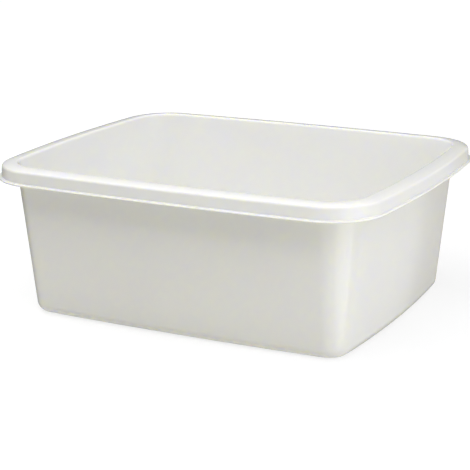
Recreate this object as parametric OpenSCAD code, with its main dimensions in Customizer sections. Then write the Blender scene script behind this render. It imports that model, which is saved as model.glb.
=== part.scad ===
// Rectangular washing up bowl, moulded in one piece of polypropylene.
// The origin is the middle of the bowl's footprint, on the surface it stands on.
// X runs along the bowl's length, Y across it and Z upwards. Sizes are in millimetres.
//
// One section of the wall is carried round the bowl: about four corner centres with the
// corner radius, and between them about far centres, which lets each side bow out a little.
// The section is drawn from the distance out from the corner centre and the height.

/* [Overall size] */
// Length over the rim's lip
bowl_l = 380; // [320:1:460]
// Width over the rim's lip
bowl_w = 311; // [260:1:380]
// Height from the table to the top of the rim
bowl_h = 140.5; // [110:0.5:160]

/* [Plan] */
// Corner radius of the rim's lip
corner_r = 50; // [46:0.5:80]
// Turn of a long side from its middle to its end, in degrees, which bows it out
long_turn = 2.5; // [1:0.1:5]
// Turn of a short side from its middle to its end, in degrees, which bows it out
short_turn = 5.3; // [1:0.1:8]

/* [Wall] */
// Thickness of the moulding
wall_t = 2; // [1.2:0.1:2.2]
// Lean of the walls from upright, in degrees
wall_draft = 5.9; // [2:0.1:7]
// Distance from the lip's edge in to the outside of the wall, at the lip's height
wall_inset = 17.6; // [14:0.1:20]
// Outer radius of the bend between wall and floor
base_r = 10; // [6:0.5:12]

/* [Rim] */
// Height of the rim from the lip's lower face to its crest
rim_h = 14.3; // [10:0.1:22]
// Radius of the bend from the basin over to the rim
top_r = 3.8; // [3:0.1:5]
// Fall of the rim's top at its outer edge, in degrees
rim_fall = 15; // [8:1:24]
// Outer radius of the bend between the rim's top and its skirt
edge_r = 2.4; // [2.3:0.1:3]
// Lean of the skirt from upright, in degrees
skirt_draft = 4; // [1:0.5:8]

/* [Lip] */
// How far the lip stands out from the skirt
lip_out = 2.7; // [2.2:0.1:4]
// Thickness of the lip
lip_t = 1.9; // [1.2:0.1:2.4]
// Radius of the fillet between skirt and lip
lip_fillet = 0.7; // [0.3:0.1:0.8]

/* [Base] */
// Width of the flat ring that the bowl stands on
seat_w = 4; // [3:0.5:6]
// Height of the middle of the base above the table
panel_rise = 1.2; // [0.6:0.1:1.8]
// Diameter of the shallow recess round the moulding point
gate_d = 14; // [8:1:24]
// Depth of that recess
gate_depth = 0.5; // [0.2:0.1:0.8]
// Diameter of the stub that moulding leaves in the recess
stub_d = 3.2; // [2:0.2:6]
// Height of that stub
stub_h = 0.4; // [0.1:0.1:0.8]

/* [Hidden] */
$fn = 96;
// Fragments of a full turn for the sides, which are short arcs of very large circles
side_fn = 360;
// Largest turn between neighbouring points of an arc in the section, in degrees
arc_step = 9;
// Hairline turn by which each side runs in past its ends, in degrees, so that no joint opens
overlap = 0.000002;
// Distance that the sides' floor runs in past the corner centres, over the floor panel
floor_lap = 16;

// Plan: how far each side's middle stands out beyond its corner centres, as a share of the
// corner centres' own distance, and from that the corner centres and the sides' radii
long_k = tan(long_turn / 2);
short_k = tan(short_turn / 2);
room_x = bowl_l / 2 - corner_r;
room_y = bowl_w / 2 - corner_r;
centre_x = (room_x - short_k * room_y) / (1 - short_k * long_k);
centre_y = room_y - long_k * centre_x;
long_r = centre_x / sin(long_turn);
short_r = centre_y / sin(short_turn);

// Section: u is the distance out from the corner centre, z is the height
lip_z = bowl_h - rim_h;
wall_k = tan(wall_draft);
skirt_k = tan(skirt_draft);
// Distance out of the wall's outer face at a height
function wall_u(z) = corner_r - wall_inset + (z - lip_z) * wall_k;
// Distance out of the skirt's outer face at a height
function skirt_u(z) = corner_r - lip_out - (z - lip_z - lip_t) * skirt_k;
function polar(c, r, a) = [c[0] + r * cos(a), c[1] + r * sin(a)];

// Centre of the bend between floor and wall
base_c = [wall_u(base_r) - base_r / cos(wall_draft), base_r];
// Centre of the bend at the top of the wall, whose highest point is the rim's crest
top_z = bowl_h - top_r;
top_c = [wall_u(top_z) + (top_r - wall_t) / cos(wall_draft), top_z];
// Centre of the rim's outer bend, which touches the skirt's face and the crowned top
edge_u0 = skirt_u(0) - edge_r / cos(skirt_draft);
fall_k = tan(rim_fall / 2);
edge_z = (bowl_h - edge_r - (edge_u0 - top_c[0]) * fall_k) / (1 - skirt_k * fall_k);
edge_c = [edge_u0 - edge_z * skirt_k, edge_z];
// Radius and centre of the crowned top, level at the crest
crown_r = edge_r + (edge_c[0] - top_c[0]) / sin(rim_fall);
crown_c = [top_c[0], bowl_h - crown_r];
// Places on the lip
nose_r = lip_t / 2;
lip_top = lip_z + lip_t;
fillet_c = [skirt_u(lip_top + lip_fillet) + lip_fillet / cos(skirt_draft), lip_top + lip_fillet];
// Inner edge of the seat ring, and the shift of the step's upper corners for an even wall
seat_u = base_c[0] - seat_w;
step_shift = wall_t * tan(22.5);

// Points of an arc about c from angle a0 to angle a1
function arc(c, r, a0, a1) =
    let (steps = ceil(abs(a1 - a0) / arc_step))
    [for (i = [0:steps]) polar(c, r, a0 + (a1 - a0) * i / steps)];

// The section's visible face, from the floor up the basin, over the rim and down to the lip
basin_face = concat(
    [[seat_u - panel_rise + step_shift, wall_t + panel_rise], [seat_u + step_shift, wall_t]],
    arc(base_c, base_r - wall_t, -90, -wall_draft),
    arc(top_c, top_r, 180 - wall_draft, 90),
    arc(crown_c, crown_r, 90 - rim_fall / 4, 90 - rim_fall * 3 / 4),
    arc(edge_c, edge_r, 90 - rim_fall, skirt_draft),
    arc(fillet_c, lip_fillet, 180 + skirt_draft, 270),
    arc([corner_r - nose_r, lip_z + nose_r], nose_r, 90, -90));

// Its hidden face, from the foot of the skirt back under the rim, down the wall to the seat
outer_face = concat(
    [[skirt_u(lip_z) - wall_t / cos(skirt_draft), lip_z]],
    arc(edge_c, edge_r - wall_t, skirt_draft, 90 - rim_fall),
    arc(crown_c, crown_r - wall_t, 90 - rim_fall * 3 / 4, 90 - rim_fall / 4),
    arc(top_c, top_r - wall_t, 90, 180 - wall_draft),
    arc(base_c, base_r, -wall_draft, -90),
    [[seat_u, 0], [seat_u - panel_rise, panel_rise]]);

// Whole section of the moulding, with its floor run in to the distance u_in
module section(u_in) {
    polygon(concat([[u_in, wall_t + panel_rise]], basin_face, outer_face, [[u_in, panel_rise]]));
}

// A shift made as a rounded one and the small rest, so that neighbours meet to the last digit
module shift(v) {
    rough = [for (d = v) round(d * 10) / 10];
    translate(rough)
        translate(v - rough)
            children();
}

// One corner, in the quarter where X and Y are both positive
module corner() {
    shift([centre_x, centre_y, 0])
        rotate_extrude(angle = 90 - long_turn - short_turn, start = short_turn)
            section(0);
}

// One side towards +X, bowed about a far centre; reach is its corner centres' distance
module side(side_r, turn, reach) {
    shift([reach - side_r * cos(turn), 0, 0])
        rotate_extrude(angle = 2 * turn + 2 * overlap, start = -turn - overlap, $fn = side_fn)
            shift([side_r, 0])
                section(-floor_lap);
}

// Middle of the floor, which laps the sides' floor
module floor_panel() {
    size = [2 * centre_x - floor_lap, 2 * centre_y - floor_lap, wall_t];
    translate([-size[0] / 2, -size[1] / 2, panel_rise])
        cube(size);
}

// Shallow recess under the middle of the base, round the stub that moulding leaves
module gate_mark() {
    difference() {
        translate([0, 0, panel_rise - 1])
            cylinder(d = gate_d, h = 1 + gate_depth);
        translate([0, 0, panel_rise + gate_depth - stub_h])
            cylinder(d = stub_d, h = stub_h + 1);
    }
}

// The bowl
module bowl() {
    color("ivory")
        difference() {
            union() {
                for (m = [[0, 0], [1, 0], [0, 1], [1, 1]])
                    mirror([m[0], 0, 0])
                        mirror([0, m[1], 0])
                            corner();
                for (turned = [0, 180])
                    rotate([0, 0, turned])
                        side(short_r, short_turn, centre_x);
                for (turned = [90, 270])
                    rotate([0, 0, turned])
                        side(long_r, long_turn, centre_y);
                floor_panel();
            }
            gate_mark();
        }
}

bowl();
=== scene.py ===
# %% [markdown]
# # A washing up bowl
#
# The real object is a rectangular washing up bowl, moulded in one piece of white polypropylene.
# Its walls lean outwards, its sides bow out a little, and its rim rolls over into a skirt with a
# small lip at the foot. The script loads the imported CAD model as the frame, draws the bowl again
# as one smooth surface in the same place, gives it a moulded plastic finish, and lights it softly.

# %% Load the frame
from math import atan2, cos, pi, radians, sin, tan

import bpy
import numpy as np
from mathutils import Matrix


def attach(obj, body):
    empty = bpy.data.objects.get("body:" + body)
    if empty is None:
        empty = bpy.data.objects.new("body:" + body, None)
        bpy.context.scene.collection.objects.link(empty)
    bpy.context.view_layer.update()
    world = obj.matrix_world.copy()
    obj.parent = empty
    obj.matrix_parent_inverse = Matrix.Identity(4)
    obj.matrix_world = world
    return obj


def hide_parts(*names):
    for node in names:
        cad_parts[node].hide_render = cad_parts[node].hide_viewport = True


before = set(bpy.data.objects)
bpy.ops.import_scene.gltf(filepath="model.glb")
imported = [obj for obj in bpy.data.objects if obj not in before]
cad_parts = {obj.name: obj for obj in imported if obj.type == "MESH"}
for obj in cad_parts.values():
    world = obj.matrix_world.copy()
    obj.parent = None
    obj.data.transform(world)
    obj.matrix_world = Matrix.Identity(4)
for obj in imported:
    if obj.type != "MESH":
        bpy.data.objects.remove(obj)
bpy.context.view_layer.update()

# %% [markdown]
# ## Sizes
#
# The bowl is drawn from the sizes of the moulding itself, in millimetres. They are the CAD source's
# own values but for TOP_RADIUS, the bend at the rim's crest, which is 3.8 there: a tighter bend
# gives the thin line of light that the real crest shows. One section of the wall is carried round
# the plan, so the plan and the section can be set apart from each other.

# %% Sizes of the moulding
MM = 0.001
LENGTH, WIDTH, HEIGHT = 380.0, 311.0, 140.5
CORNER_RADIUS = 50.0
LONG_TURN, SHORT_TURN = 2.5, 5.3
WALL, WALL_LEAN, WALL_INSET, BASE_RADIUS = 2.0, 5.9, 17.6, 10.0
RIM_HEIGHT, TOP_RADIUS, RIM_FALL, EDGE_RADIUS, SKIRT_LEAN = 14.3, 2.6, 15.0, 2.4, 4.0
LIP_OUT, LIP_THICKNESS, LIP_FILLET, FOOT_RADIUS = 2.7, 1.9, 0.7, 0.35
SEAT_WIDTH, PANEL_RISE, STEP_RADIUS = 4.0, 1.2, 0.9
GATE_RADIUS, GATE_DEPTH, STUB_RADIUS, STUB_HEIGHT = 7.0, 0.5, 1.6, 0.4
FLOOR_EDGE = 4.0
print("Moulding:", LENGTH, "by", WIDTH, "by", HEIGHT, "mm, wall", WALL, "mm")

# %% [markdown]
# ## The plan
#
# Seen from above, the rim is a rectangle with round corners whose sides bow out by a few
# millimetres. Each corner is an arc about its own centre, and each side is a long arc about a far
# centre, which meets both corners without a kink. A point of the plan is a foot on the track of the
# corner centres plus a distance out along a direction. So the whole plan is two arrays, feet and
# directions, and every ring of the bowl is feet + distance * directions.

# %% The plan as feet and directions
def plan_track(corner_steps=30, long_steps=44, short_steps=32):
    """Feet and unit directions of the plan, anticlockwise from the middle of the +X side.

    A corner's foot stays at its centre while its direction turns. A side's foot runs along an
    arc of the side's radius, and its direction points away from the far centre.
    """
    long_k, short_k = tan(radians(LONG_TURN / 2)), tan(radians(SHORT_TURN / 2))
    room_x, room_y = LENGTH / 2 - CORNER_RADIUS, WIDTH / 2 - CORNER_RADIUS
    centre_x = (room_x - short_k * room_y) / (1 - short_k * long_k)
    centre_y = room_y - long_k * centre_x
    long_radius = centre_x / sin(radians(LONG_TURN))
    short_radius = centre_y / sin(radians(SHORT_TURN))
    short_far = centre_x - short_radius * cos(radians(SHORT_TURN))
    long_far = centre_y - long_radius * cos(radians(LONG_TURN))

    def stretch(x, y, radius, start, end, steps):
        """Feet = (x, y) + radius * direction, for evenly spaced directions from start to end."""
        angle = np.radians(np.linspace(start, end, steps, endpoint=False))
        direction = np.column_stack([np.cos(angle), np.sin(angle)])
        return [x, y] + radius * direction, direction

    pieces = [
        stretch(short_far, 0, short_radius, 0, SHORT_TURN, short_steps // 2),
        stretch(centre_x, centre_y, 0, SHORT_TURN, 90 - LONG_TURN, corner_steps),
        stretch(0, long_far, long_radius, 90 - LONG_TURN, 90 + LONG_TURN, long_steps),
        stretch(-centre_x, centre_y, 0, 90 + LONG_TURN, 180 - SHORT_TURN, corner_steps),
        stretch(-short_far, 0, short_radius, 180 - SHORT_TURN, 180 + SHORT_TURN, short_steps),
        stretch(-centre_x, -centre_y, 0, 180 + SHORT_TURN, 270 - LONG_TURN, corner_steps),
        stretch(0, -long_far, long_radius, 270 - LONG_TURN, 270 + LONG_TURN, long_steps),
        stretch(centre_x, -centre_y, 0, 270 + LONG_TURN, 360 - SHORT_TURN, corner_steps),
        stretch(short_far, 0, short_radius, 360 - SHORT_TURN, 360, short_steps // 2),
    ]
    return np.vstack([p[0] for p in pieces]), np.vstack([p[1] for p in pieces])


feet, directions = plan_track()
print("Plan:", len(feet), "places round the bowl")

# %% [markdown]
# ## The section
#
# Cut through, the wall is a strip two millimetres thick: a floor with a low step, a bend, a leaning
# wall, a tight bend at the rim's crest, a gently crowned top, the skirt and the lip. Straight
# lines and arcs that touch each other give it, first along the visible face and then back along the
# hidden one. Real mouldings have no sharp edges, so each corner gets its small radius.

# %% Lines and arcs of the section
def arc(centre, radius, start, end, steps):
    """Centre + radius * (cosine, sine) of evenly spaced angles, from start to end in degrees."""
    angle = np.radians(np.linspace(start, end, steps + 1))
    return np.column_stack([centre[0] + radius * np.cos(angle), centre[1] + radius * np.sin(angle)])


def line(start, end, steps):
    """Start + share * (end - start), where share = (1 - cosine of even steps of half a turn) / 2.

    The points are closer together near both ends, which keeps the shading of bends clean.
    """
    share = (1 - np.cos(np.linspace(0, pi, steps + 1)[1:-1])) / 2
    return np.array(start) + share[:, None] * (np.array(end) - np.array(start))


def rounded(before, corner, after, radius, steps=5):
    """An arc of the given radius that touches both lines of a corner.

    Its centre = corner + the corner's middle direction * radius / sine of half the corner's angle.
    """
    corner = np.array(corner)
    a, b = np.array(before) - corner, np.array(after) - corner
    a, b = a / np.hypot(*a), b / np.hypot(*b)
    half = np.arccos(np.clip(a @ b, -1, 1)) / 2
    centre = corner + (a + b) / np.hypot(*(a + b)) * radius / np.sin(half)
    first = corner + a * radius / np.tan(half) - centre
    last = corner + b * radius / np.tan(half) - centre
    start = atan2(first[1], first[0])
    turn = (atan2(last[1], last[0]) - start + pi) % (2 * pi) - pi
    return arc(centre, radius, np.degrees(start), np.degrees(start + turn), steps)


SHORT_GAP, SAME_PLACE = 0.3, 1e-6


def joined(*runs):
    """Runs of points one after another, with lines between ends that are more than a short gap apart.

    A line's steps grow with a little over the square root of its length.
    """
    points = [runs[0]]
    for run in runs[1:]:
        gap = np.hypot(*(run[0] - points[-1][-1]))
        if gap > SHORT_GAP:
            points.append(line(points[-1][-1], run[0], 3 + int(gap ** 0.55)))
        points.append(run if gap > SAME_PLACE else run[1:])
    return np.vstack(points)


# %% The section's two faces
STEP_SLOPE = 45.0


def section_faces():
    """The visible face from the floor to the lip, and the hidden face from the lip to the base.

    Each is an array of distance out from the corner centre and height, in millimetres.
    """
    lean, skirt = radians(WALL_LEAN), radians(SKIRT_LEAN)
    lip_z = HEIGHT - RIM_HEIGHT

    def wall_at(z):
        return CORNER_RADIUS - WALL_INSET + (z - lip_z) * tan(lean)

    def skirt_at(z):
        return CORNER_RADIUS - LIP_OUT - (z - lip_z - LIP_THICKNESS) * tan(skirt)

    base = (wall_at(BASE_RADIUS) - BASE_RADIUS / cos(lean), BASE_RADIUS)
    top_z = HEIGHT - TOP_RADIUS
    top = (wall_at(top_z) + (TOP_RADIUS - WALL) / cos(lean), top_z)
    fall_k = tan(radians(RIM_FALL / 2))
    edge_start = skirt_at(0) - EDGE_RADIUS / cos(skirt)
    edge_z = (HEIGHT - EDGE_RADIUS - (edge_start - top[0]) * fall_k) / (1 - tan(skirt) * fall_k)
    edge = (edge_start - edge_z * tan(skirt), edge_z)
    crown_radius = EDGE_RADIUS + (edge[0] - top[0]) / sin(radians(RIM_FALL))
    crown = (top[0], HEIGHT - crown_radius)
    nose = LIP_THICKNESS / 2
    lip_top = lip_z + LIP_THICKNESS
    fillet = (skirt_at(lip_top + LIP_FILLET) + LIP_FILLET / cos(skirt), lip_top + LIP_FILLET)
    seat = base[0] - SEAT_WIDTH
    shift = WALL * tan(radians(STEP_SLOPE / 2))
    upper, panel = WALL + PANEL_RISE, seat - PANEL_RISE
    foot = (skirt_at(lip_z) - WALL / cos(skirt), lip_z)
    foot_above = (foot[0] - 2 * tan(skirt), foot[1] + 2)

    visible = joined(
        np.array([[FLOOR_EDGE, upper]]),
        rounded((0, upper), (panel + shift, upper), (seat + shift, WALL), STEP_RADIUS, 3),
        rounded((panel + shift, upper), (seat + shift, WALL), (base[0], WALL), STEP_RADIUS, 3),
        arc(base, BASE_RADIUS - WALL, -90, -WALL_LEAN, 16),
        arc(top, TOP_RADIUS, 180 - WALL_LEAN, 90, 14),
        arc(crown, crown_radius, 90, 90 - RIM_FALL, 8),
        arc(edge, EDGE_RADIUS, 90 - RIM_FALL, SKIRT_LEAN, 10),
        arc(fillet, LIP_FILLET, 180 + SKIRT_LEAN, 270, 6),
        arc((CORNER_RADIUS - nose, lip_z + nose), nose, 90, -90, 12),
    )
    hidden = joined(
        rounded((CORNER_RADIUS - nose, lip_z), foot, foot_above, FOOT_RADIUS, 4),
        arc(edge, EDGE_RADIUS - WALL, SKIRT_LEAN, 90 - RIM_FALL, 5),
        arc(crown, crown_radius - WALL, 90 - RIM_FALL, 90, 8),
        arc(top, TOP_RADIUS - WALL, 90, 180 - WALL_LEAN, 10),
        arc(base, BASE_RADIUS, -WALL_LEAN, -90, 16),
        rounded((base[0], 0), (seat, 0), (panel, PANEL_RISE), STEP_RADIUS, 3),
        rounded((seat, 0), (panel, PANEL_RISE), (0, PANEL_RISE), STEP_RADIUS, 3),
        np.array([[FLOOR_EDGE, PANEL_RISE]]),
    )
    return visible, hidden


visible_face, hidden_face = section_faces()
section = joined(visible_face, hidden_face)
print("Section:", len(section), "points")
print("It runs from", section.min(0).round(2), "to", section.max(0).round(2))

# %% [markdown]
# ## The middle of the floor
#
# The floor closes towards the middle, where the plan's rings have to shrink to a point. In the
# middle of the underside is the round mark where the plastic was injected. So the rings change
# from the plan's outline to circles on their way in: each keeps the outline's polar angles,
# and its radius is a mix of the outline's own radius and a circle's.

# %% Rings of the floor's middle
def inner_rings(levels, edge_distance):
    """Rings inside the floor's edge, one for each (mix, radius, height).

    Radius = (1 - mix) * outline * share + mix * circle, along the outline's polar direction, with
    share = circle / (half the bowl's width), so that rings shrink evenly.
    """
    outline = feet + edge_distance * directions
    reach = np.hypot(outline[:, 0], outline[:, 1])
    along = outline / reach[:, None]
    mix, circle, height = (np.array(v)[:, None] for v in zip(*levels))
    share = circle / reach.min()
    radius = (1 - mix) * reach * share + mix * circle
    flat = radius[:, :, None] * along
    return np.dstack([flat, np.broadcast_to(height[:, :, None], radius.shape + (1,))])


OUTER_CIRCLE, FLOOR_RINGS = 95, 12


def floor_levels(height, last):
    """Levels from the floor's edge to a circle of radius last, at one height.

    Circles shrink by an even ratio; mix = the square of the share of the way in.
    """
    circle = np.geomspace(OUTER_CIRCLE, last, FLOOR_RINGS)
    mix = np.clip((OUTER_CIRCLE - circle) / (OUTER_CIRCLE - last), 0, 1) ** 2
    return list(zip(mix, circle, np.full(FLOOR_RINGS, height)))


upper_rings = inner_rings(floor_levels(WALL + PANEL_RISE, 2.0), FLOOR_EDGE)[::-1]
ceiling = PANEL_RISE + GATE_DEPTH
gate_levels = [
    (1, GATE_RADIUS + 0.15, PANEL_RISE), (1, GATE_RADIUS + 0.04, PANEL_RISE + 0.03),
    (1, GATE_RADIUS, PANEL_RISE + 0.12), (1, GATE_RADIUS - 0.05, ceiling - 0.15),
    (1, GATE_RADIUS - 0.2, ceiling), (1, GATE_RADIUS * 0.6, ceiling),
    (1, STUB_RADIUS + 0.15, ceiling), (1, STUB_RADIUS, ceiling - 0.12),
    (1, STUB_RADIUS - 0.05, ceiling - STUB_HEIGHT + 0.08),
    (1, STUB_RADIUS - 0.25, ceiling - STUB_HEIGHT), (1, STUB_RADIUS * 0.4, ceiling - STUB_HEIGHT),
]
lower_rings = inner_rings(floor_levels(PANEL_RISE, GATE_RADIUS + 1.5) + gate_levels, FLOOR_EDGE)
print("Floor:", len(upper_rings), "rings above and", len(lower_rings), "below")

# %% [markdown]
# ## One closed surface
#
# The rows of the surface run from the middle of the floor, out, up the basin, over the rim, down to
# the lip, back under the rim, down the wall and in to the middle of the underside. Neighbouring
# rows are joined by four-sided faces, and a fan closes each end. A grid like this needs no
# modifiers, and its faces all point outwards because rows and columns always run the same way.

# %% The mesh of the bowl
def closed_grid(name, rows, first, last):
    """A mesh from rows of points with equal counts, closed by a fan to a point at either end.

    Point (row, column) has the number 1 + row * width + column; the two end points come first and last.
    """
    count, width = rows.shape[:2]
    points = np.vstack([[first], rows.reshape(-1, 3), [last]]) * MM
    column = np.arange(width)
    after = np.roll(column, -1)
    start = 1 + np.arange(count - 1)[:, None] * width
    below = start + width
    quads = np.stack([start + column, below + column, below + after, start + after], -1)
    end = 1 + (count - 1) * width
    top_fan = np.stack([np.zeros(width, int), 1 + column, 1 + after], -1)
    bottom_fan = np.stack([np.full(width, len(points) - 1), end + after, end + column], -1)
    faces = quads.reshape(-1, 4).tolist() + top_fan.tolist() + bottom_fan.tolist()
    mesh = bpy.data.meshes.new(name)
    mesh.from_pydata(points.tolist(), [], faces)
    mesh.polygons.foreach_set("use_smooth", np.ones(len(mesh.polygons), bool))
    mesh.update()
    piece = bpy.data.objects.new(name, mesh)
    bpy.context.collection.objects.link(piece)
    return piece


rings = feet[None] + section[:, :1, None] * directions[None]
rings = np.dstack([rings, np.broadcast_to(section[:, 1:, None], rings.shape[:2] + (1,))])
rows = np.concatenate([upper_rings, rings, lower_rings])
bowl = closed_grid("bowl_moulding", rows, (0, 0, WALL + PANEL_RISE), (0, 0, ceiling - STUB_HEIGHT))
print("Bowl:", len(bowl.data.vertices), "points,", len(bowl.data.polygons), "faces")

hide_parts("bowl")
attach(bowl, "root")

# %% [markdown]
# ## Moulded polypropylene
#
# The plastic is a warm white with a soft, waxy sheen. It is cloudy: light goes in, scatters over a
# millimetre or so and comes out again. So every ray that isn't mirrored goes below the surface
# here, red the deepest and blue the least. The mould leaves a fine grain and the wall shrinks
# unevenly, so reflections are soft and waver. The ring that the bowl stands on is scuffed dull.
# Noise on Object coordinates gives the grain, the waver and a faint clouding of the colour. Paint
# and a gloss coat would be simpler, but the bends would look hard.

# %% The plastic's nodes
CLOUDS, SHEEN = 14, 60
SCUFF_HEIGHT, SCUFF = 0.0006, 0.3
WAVER = (22, 1, 0.00012, 0.5, -200)
GRAIN = (2600, 2, 0.00001, 0.35, -450)


def noise(nodes, links, where, scale, detail, x, y):
    """A noise texture on Object coordinates; scale is in repeats a metre."""
    texture = nodes.new("ShaderNodeTexNoise")
    texture.location = (x, y)
    texture.inputs["Scale"].default_value = scale
    texture.inputs["Detail"].default_value = detail
    links.new(where.outputs["Object"], texture.inputs["Vector"])
    return texture.outputs["Fac"]


def polypropylene():
    """Cloudy plastic with faintly uneven colour and gloss, a waver, a grain and a dull foot.

    Roughness = noise spread over a narrow range + scuffing, which fades out SCUFF_HEIGHT above the
    table. WAVER and GRAIN are repeats a metre, detail, depth, strength and the node's place.
    """
    material = bpy.data.materials.new("moulded_polypropylene")
    material.use_nodes = True
    nodes, links = material.node_tree.nodes, material.node_tree.links
    shader = nodes["Principled BSDF"]
    shader.inputs["IOR"].default_value = 1.49
    shader.inputs["Subsurface Weight"].default_value = 1.0
    shader.inputs["Subsurface Radius"].default_value = (1.0, 0.93, 0.4)
    shader.inputs["Subsurface Scale"].default_value = 0.0007
    where = nodes.new("ShaderNodeTexCoord")
    where.location = (-1100, 0)

    cloud = nodes.new("ShaderNodeMix")
    cloud.data_type = "RGBA"
    cloud.location = (-400, 300)
    cloud.inputs["A"].default_value = (0.852, 0.852, 0.829, 1)
    cloud.inputs["B"].default_value = (0.878, 0.878, 0.858, 1)
    links.new(noise(nodes, links, where, CLOUDS, 3, -800, 300), cloud.inputs["Factor"])
    links.new(cloud.outputs["Result"], shader.inputs["Base Color"])

    gloss = nodes.new("ShaderNodeMapRange")
    gloss.location = (-600, 50)
    gloss.inputs["To Min"].default_value = 0.10
    gloss.inputs["To Max"].default_value = 0.19
    links.new(noise(nodes, links, where, SHEEN, 4, -800, 50), gloss.inputs["Value"])
    height = nodes.new("ShaderNodeSeparateXYZ")
    height.location = (-800, -100)
    links.new(where.outputs["Object"], height.inputs[0])
    scuffed = nodes.new("ShaderNodeMapRange")
    scuffed.location = (-600, -100)
    scuffed.inputs["From Min"].default_value = SCUFF_HEIGHT
    scuffed.inputs["From Max"].default_value = 0.0
    scuffed.inputs["To Max"].default_value = SCUFF
    links.new(height.outputs["Z"], scuffed.inputs["Value"])
    rough = nodes.new("ShaderNodeMath")
    rough.location = (-400, 50)
    links.new(gloss.outputs["Result"], rough.inputs[0])
    links.new(scuffed.outputs["Result"], rough.inputs[1])
    links.new(rough.outputs[0], shader.inputs["Roughness"])

    normal = None
    for scale, detail, depth, strength, y in (WAVER, GRAIN):
        bump = nodes.new("ShaderNodeBump")
        bump.location = (-400, y)
        bump.inputs["Distance"].default_value = depth
        bump.inputs["Strength"].default_value = strength
        links.new(noise(nodes, links, where, scale, detail, -800, y), bump.inputs["Height"])
        if normal:
            links.new(normal, bump.inputs["Normal"])
        normal = bump.outputs["Normal"]
    links.new(normal, shader.inputs["Normal"])
    return material


bowl.data.materials.append(polypropylene())
print("Finish:", bowl.data.materials[0].name)

# %% [markdown]
# ## The floor
#
# The bowl stands on a plain white floor that runs out of sight. To the camera the floor is part
# white light and part paint, so that it stays white and still shows the bowl's soft shadow. To
# other rays it is pale, warm paint, which lights the walls from below as a studio table does, and
# makes the shaded walls a little yellower. Mirrored rays pass it and see the white room, as if the
# bowl stood on a small table with the room's white all round and below it.

# %% A pale floor
def any_of(nodes, links, names):
    """One for rays of any of the named kinds, zero for others."""
    seen = nodes.new("ShaderNodeLightPath")
    result = seen.outputs[names[0]]
    for name in names[1:]:
        either = nodes.new("ShaderNodeMath")
        either.operation = "MAXIMUM"
        links.new(result, either.inputs[0])
        links.new(seen.outputs[name], either.inputs[1])
        result = either.outputs[0]
    return result


def blended(nodes, links, share, first, second):
    """Two shaders mixed by a share from 0, all first, to 1, all second."""
    mix = nodes.new("ShaderNodeMixShader")
    links.new(share, mix.inputs["Fac"])
    links.new(first.outputs[0], mix.inputs[1])
    links.new(second.outputs[0], mix.inputs[2])
    return mix


NEAR, FAR, NEAR_GLOW = 0.3, 1.4, 0.74


def pale_floor(half=9.0):
    """A square floor at height zero, centred under the bowl.

    What the camera sees = faint paint + glow, which rises from NEAR_GLOW at NEAR to 1 at FAR.
    """
    corners = [(-half, -half, 0), (half, -half, 0), (half, half, 0), (-half, half, 0)]
    mesh = bpy.data.meshes.new("floor")
    mesh.from_pydata(corners, [], [(0, 1, 2, 3)])
    material = bpy.data.materials.new("floor_paint")
    material.use_nodes = True
    nodes, links = material.node_tree.nodes, material.node_tree.links
    nodes.remove(nodes["Principled BSDF"])
    paint = nodes.new("ShaderNodeBsdfDiffuse")
    paint.inputs["Color"].default_value = (0.86, 0.85, 0.78, 1)
    faint = nodes.new("ShaderNodeBsdfDiffuse")
    faint.inputs["Color"].default_value = (0.30, 0.30, 0.30, 1)
    where = nodes.new("ShaderNodeTexCoord")
    away = nodes.new("ShaderNodeVectorMath")
    away.operation = "LENGTH"
    links.new(where.outputs["Object"], away.inputs[0])
    level = nodes.new("ShaderNodeMapRange")
    level.inputs["From Min"].default_value = NEAR
    level.inputs["From Max"].default_value = FAR
    level.inputs["To Min"].default_value = NEAR_GLOW
    links.new(away.outputs["Value"], level.inputs["Value"])
    glow = nodes.new("ShaderNodeEmission")
    links.new(level.outputs["Result"], glow.inputs["Strength"])
    white = nodes.new("ShaderNodeAddShader")
    links.new(faint.outputs[0], white.inputs[0])
    links.new(glow.outputs[0], white.inputs[1])
    seen = blended(nodes, links, any_of(nodes, links, ["Is Camera Ray"]), paint, white)
    mirrored = any_of(nodes, links, ["Is Glossy Ray", "Is Transmission Ray"])
    final = blended(nodes, links, mirrored, seen, nodes.new("ShaderNodeBsdfTransparent"))
    links.new(final.outputs[0], nodes["Material Output"].inputs["Surface"])
    mesh.materials.append(material)
    floor = bpy.data.objects.new("floor", mesh)
    bpy.context.collection.objects.link(floor)
    return floor


pale_floor()
print("Floor laid")

# %% [markdown]
# ## Light
#
# The light is soft: most from above, some from the left, from high in front and from behind, and
# from one large light low on the right. That one stands beside the table and reaches below its top,
# so the near corner mirrors it as a bright band with a crisp edge. The other lamps stay out of
# mirrored rays, which see the white room instead, and behind the bowl two upright cards, one grey
# and one nearly black. Studios stand such cards behind a pale object, so that its edges mirror
# something dark and stay drawn against the white. The camera sees no lamp and no card.

# %% World and lamps
def white_room(strength):
    """A world of strength 1 to the camera and to gloss, and of the given strength to other rays."""
    world = bpy.data.worlds.new("white_room")
    world.use_nodes = True
    nodes, links = world.node_tree.nodes, world.node_tree.links
    nodes["Background"].inputs["Color"].default_value = (1, 1, 1, 1)
    level = nodes.new("ShaderNodeMapRange")
    level.inputs["To Min"].default_value = strength
    views = ["Is Camera Ray", "Is Glossy Ray", "Is Transmission Ray"]
    links.new(any_of(nodes, links, views), level.inputs["Value"])
    links.new(level.outputs["Result"], nodes["Background"].inputs["Strength"])
    return world


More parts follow.
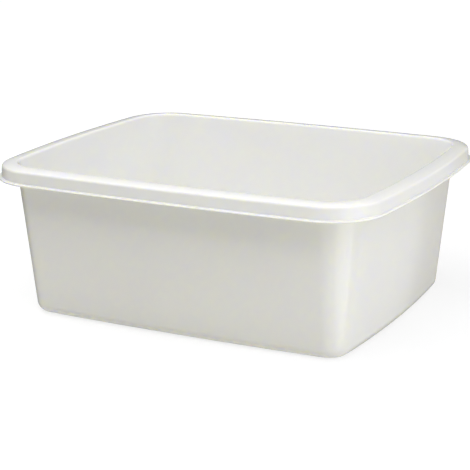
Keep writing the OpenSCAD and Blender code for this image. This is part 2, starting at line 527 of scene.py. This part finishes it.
def soft_lamp(name, place, target, size, watts, tint=(1, 1, 1), mirrored=False):
    """A square area lamp at place, facing target, in metres; gloss shows it only if mirrored.

    Its axes are a level side direction, the way back from the target, and their cross product.
    """
    data = bpy.data.lights.new(name, "AREA")
    data.shape, data.size, data.energy, data.color = "SQUARE", size, watts, tint
    lamp = bpy.data.objects.new(name, data)
    back = np.array(place, float) - np.array(target, float)
    back /= np.linalg.norm(back)
    side = np.cross([0, 1, 0] if abs(back[2]) > 0.9 else [0, 0, 1], back)
    side /= np.linalg.norm(side)
    axes = np.column_stack([side, np.cross(back, side), back])
    lamp.matrix_world = Matrix.Translation(place) @ Matrix(axes.tolist()).to_4x4()
    lamp.visible_camera, lamp.visible_glossy = False, mirrored
    bpy.context.collection.objects.link(lamp)
    return lamp


def card(name, places, low, high, tone):
    """An upright card of even tone along places on the ground, seen by mirrored rays only."""
    points = [(x, y, z) for x, y in places for z in (low, high)]
    faces = [(i, i + 2, i + 3, i + 1) for i in range(0, len(points) - 2, 2)]
    mesh = bpy.data.meshes.new(name)
    mesh.from_pydata(points, [], faces)
    material = bpy.data.materials.new(name)
    material.use_nodes = True
    nodes, links = material.node_tree.nodes, material.node_tree.links
    nodes.remove(nodes["Principled BSDF"])
    glow = nodes.new("ShaderNodeEmission")
    glow.inputs["Color"].default_value = (*tone, 1)
    links.new(glow.outputs[0], nodes["Material Output"].inputs["Surface"])
    mesh.materials.append(material)
    piece = bpy.data.objects.new(name, mesh)
    bpy.context.collection.objects.link(piece)
    piece.visible_camera = False
    piece.visible_diffuse = False
    piece.visible_shadow = False
    piece.visible_transmission = False
    return piece


bpy.context.scene.world = white_room(0.05)
MIDDLE = (0, 0, 0.08)
LOW_CORNER = (0.16, -0.13, -0.05)
COOL = (0.95, 0.96, 1.0)
soft_lamp("right_side", (1.02, -0.41, -0.05), LOW_CORNER, 1.0, 6.1, COOL, mirrored=True)
soft_lamp("right_high", (0.85, -0.5, 0.8), MIDDLE, 0.8, 3.6, (0.96, 0.96, 1.0))
soft_lamp("top", (0, -0.1, 1.0), MIDDLE, 1.4, 7.1, (0.98, 0.98, 1.0))
soft_lamp("front_top", (0, -0.5, 0.9), MIDDLE, 0.5, 1.9)
soft_lamp("left_top", (-0.7, 0, 1.0), MIDDLE, 0.9, 4.1)
soft_lamp("left_low", (-0.95, -0.1, 0.5), MIDDLE, 0.8, 1.3)
soft_lamp("back_right", (0.6, 0.8, 0.9), MIDDLE, 0.8, 1.6)
CARD_LOW, CARD_HIGH = -0.8, 1.0
dark_places = [(0.05, 1.1), (-1.1, 0.75), (-1.3, -0.1)]
card("grey_card", [(0.42, 1.05), (0.05, 1.1)], CARD_LOW, CARD_HIGH, (0.6, 0.58, 0.52))
card("dark_card", dark_places, CARD_LOW, CARD_HIGH, (0.12, 0.12, 0.1))

# %% [markdown]
# ## The camera
#
# The photograph was taken a little from the right and from above. The camera's turn, height, tilt
# and distance were worked out from the bowl's outline, and they place the picture's centre beside
# the bowl's middle, so no shift is needed.

# %% The camera's place
AZIMUTH, ELEVATION, ROLL = radians(27.098), radians(15.672), radians(-0.418)
DISTANCE, ASIDE, UPWARD, TARGET_HEIGHT = 1.381554, -0.004963, -0.013444, 0.075
FOCAL_PIXELS, PICTURE_PIXELS, SENSOR = 1485.185, 470, 36.0


def aimed_camera():
    """A camera whose axes come from azimuth and elevation, turned about its view by the roll.

    Place = the target + back * distance + the two small moves along the rolled axes.
    """
    back = np.array([sin(AZIMUTH) * cos(ELEVATION), -cos(AZIMUTH) * cos(ELEVATION), sin(ELEVATION)])
    right = np.cross(-back, [0, 0, 1])
    right /= np.linalg.norm(right)
    up = np.cross(right, -back)
    rolled_right = right * cos(ROLL) + up * sin(ROLL)
    rolled_up = up * cos(ROLL) - right * sin(ROLL)
    place = back * DISTANCE + rolled_right * ASIDE + rolled_up * UPWARD + [0, 0, TARGET_HEIGHT]
    data = bpy.data.cameras.new("camera")
    data.sensor_width = SENSOR
    data.lens = SENSOR * FOCAL_PIXELS / PICTURE_PIXELS
    camera = bpy.data.objects.new("camera", data)
    axes = Matrix(np.column_stack([rolled_right, rolled_up, back]).tolist()).to_4x4()
    camera.matrix_world = Matrix.Translation(place.tolist()) @ axes
    bpy.context.collection.objects.link(camera)
    return camera


scene = bpy.context.scene
scene.camera = aimed_camera()
scene.view_settings.view_transform = "Standard"
print("Camera:", [round(v, 3) for v in scene.camera.location])
print("Lens:", round(scene.camera.data.lens, 2), "mm")
